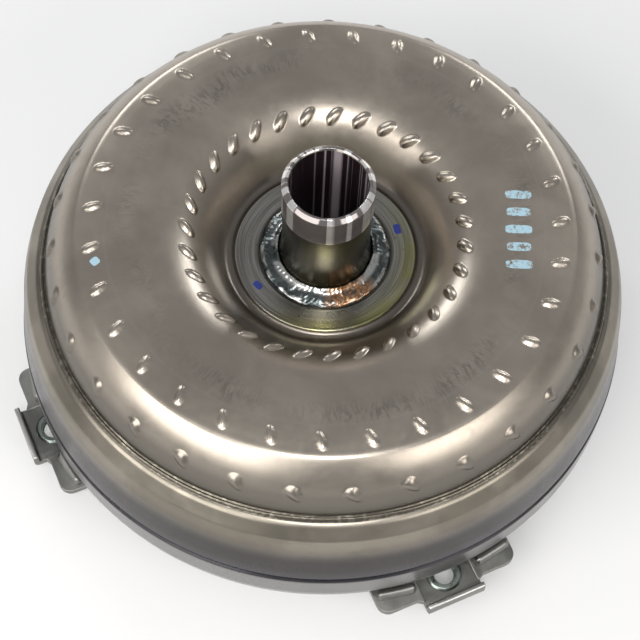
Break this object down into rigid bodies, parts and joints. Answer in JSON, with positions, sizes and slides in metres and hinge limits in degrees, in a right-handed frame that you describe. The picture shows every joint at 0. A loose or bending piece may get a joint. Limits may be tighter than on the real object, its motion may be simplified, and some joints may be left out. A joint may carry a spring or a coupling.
{
  "type": "torque converter",
  "caption": "Lock-up torque converter with pressed cover and impeller shell, pump hub, turbine, freewheeling stator, torsion damper and bolt-on drive lugs.",
  "frame": {"origin": "centre of the pilot boss's end face, the lowest point", "axes": "+Z along the axis from the engine side to the pump hub; +X and +Y through the middles of drive lugs 1 and 2"},
  "size_m": [0.303, 0.303, 0.1457],
  "materials": {
    "pressed_steel": "satin, washed pressed steel",
    "machined_steel": "turned and polished",
    "weld_steel": "bright rippled weld bead with heat tint",
    "bracket_steel": "dull washed sheet steel",
    "plated_steel": "grey-green plated",
    "stamped_steel": "oiled stamped steel",
    "cast_aluminium": "die-cast, matt",
    "bearing_steel": "ground",
    "spring_steel": "dark oil-tempered",
    "friction_paper": "brown fibrous friction paper",
    "polymer": "dark moulded"
  },
  "bodies": {
    "housing": {"front_cover": "pressed_steel", "pilot_boss": "machined_steel", "closure_weld": "weld_steel", "impeller_shell": "pressed_steel", "pump_hub": "machined_steel", "hub_weld": "weld_steel", "impeller_blades": "stamped_steel", "drive_lug_1": "bracket_steel", "drive_lug_2": "bracket_steel", "drive_lug_3": "bracket_steel", "drive_lug_4": "bracket_steel", "drive_nut_1": "plated_steel", "drive_nut_2": "plated_steel", "drive_nut_3": "plated_steel", "drive_nut_4": "plated_steel", "cover_thrust_washer": "polymer", "rear_thrust_race": "bearing_steel"},
    "turbine": {"turbine_shell": "stamped_steel", "turbine_blades": "stamped_steel", "turbine_hub": "machined_steel", "hub_rivet_1": "stamped_steel", "hub_rivet_2": "stamped_steel", "hub_rivet_3": "stamped_steel", "hub_rivet_4": "stamped_steel", "hub_rivet_5": "stamped_steel", "hub_rivet_6": "stamped_steel", "driven_plate": "stamped_steel", "front_thrust_race": "bearing_steel"},
    "damper_drive": {"front_drive_plate": "stamped_steel", "rear_drive_plate": "stamped_steel", "spacer_rivet_1": "stamped_steel", "spacer_rivet_2": "stamped_steel", "spacer_rivet_3": "stamped_steel", "spacer_rivet_4": "stamped_steel", "spacer_rivet_5": "stamped_steel", "spacer_rivet_6": "stamped_steel"},
    "damper_springs": {"damper_spring_1": "spring_steel", "damper_spring_2": "spring_steel", "damper_spring_3": "spring_steel", "damper_spring_4": "spring_steel", "damper_spring_5": "spring_steel", "damper_spring_6": "spring_steel"},
    "piston": {"lockup_piston": "stamped_steel", "friction_lining": "friction_paper", "piston_seal": "polymer"},
    "inner_race": {"clutch_inner_race": "bearing_steel"},
    "stator": {"stator_wheel": "cast_aluminium", "clutch_outer_race": "bearing_steel", "clutch_roller_cage": "polymer", "clutch_roller_1": "bearing_steel", "clutch_roller_2": "bearing_steel", "clutch_roller_3": "bearing_steel", "clutch_roller_4": "bearing_steel", "clutch_roller_5": "bearing_steel", "clutch_roller_6": "bearing_steel", "stator_end_plate": "cast_aluminium", "snap_ring": "spring_steel"},
    "rear_bearing": {"rear_bearing_cage": "bearing_steel"},
    "front_bearing": {"front_bearing_cage": "bearing_steel"}
  },
  "joints": [
    {"name": "turbine_spin", "type": "hinge", "parent": "housing", "child": "turbine", "pos_m": [0, 0, 0.05], "axis": [0, 0, 1], "continuous": true},
    {"name": "damper_twist", "type": "hinge", "parent": "turbine", "child": "damper_drive", "pos_m": [0, 0, 0.0375], "axis": [0, 0, 1], "range_deg": [-7, 7], "stiffness_Nm_per_rad": 800},
    {"name": "spring_float", "type": "hinge", "parent": "turbine", "child": "damper_springs", "pos_m": [0, 0, 0.0375], "axis": [0, 0, 1], "range_deg": [-3.5, 3.5], "deforming": ["damper_spring_1", "damper_spring_2", "damper_spring_3", "damper_spring_4", "damper_spring_5", "damper_spring_6"]},
    {"name": "piston_apply", "type": "slide", "parent": "damper_drive", "child": "piston", "axis": [0, 0, -1], "range_m": [0, 0.0011]},
    {"name": "inner_race_spin", "type": "hinge", "parent": "housing", "child": "inner_race", "pos_m": [0, 0, 0.069], "axis": [0, 0, 1], "continuous": true},
    {"name": "stator_freewheel", "type": "hinge", "parent": "inner_race", "child": "stator", "pos_m": [0, 0, 0.069], "axis": [0, 0, 1], "range_deg": [0, 360]},
    {"name": "rear_bearing_roll", "type": "hinge", "parent": "housing", "child": "rear_bearing", "pos_m": [0, 0, 0.0816], "axis": [0, 0, 1], "continuous": true},
    {"name": "front_bearing_roll", "type": "hinge", "parent": "housing", "child": "front_bearing", "pos_m": [0, 0, 0.0538], "axis": [0, 0, 1], "continuous": true}
  ],
  "couplings": [
    {"joint": "spring_float", "follows": "damper_twist", "ratio": 0.5},
    {"joint": "rear_bearing_roll", "follows": "inner_race_spin", "ratio": 0.5},
    {"joint": "front_bearing_roll", "follows": "turbine_spin", "ratio": 0.5}
  ]
}
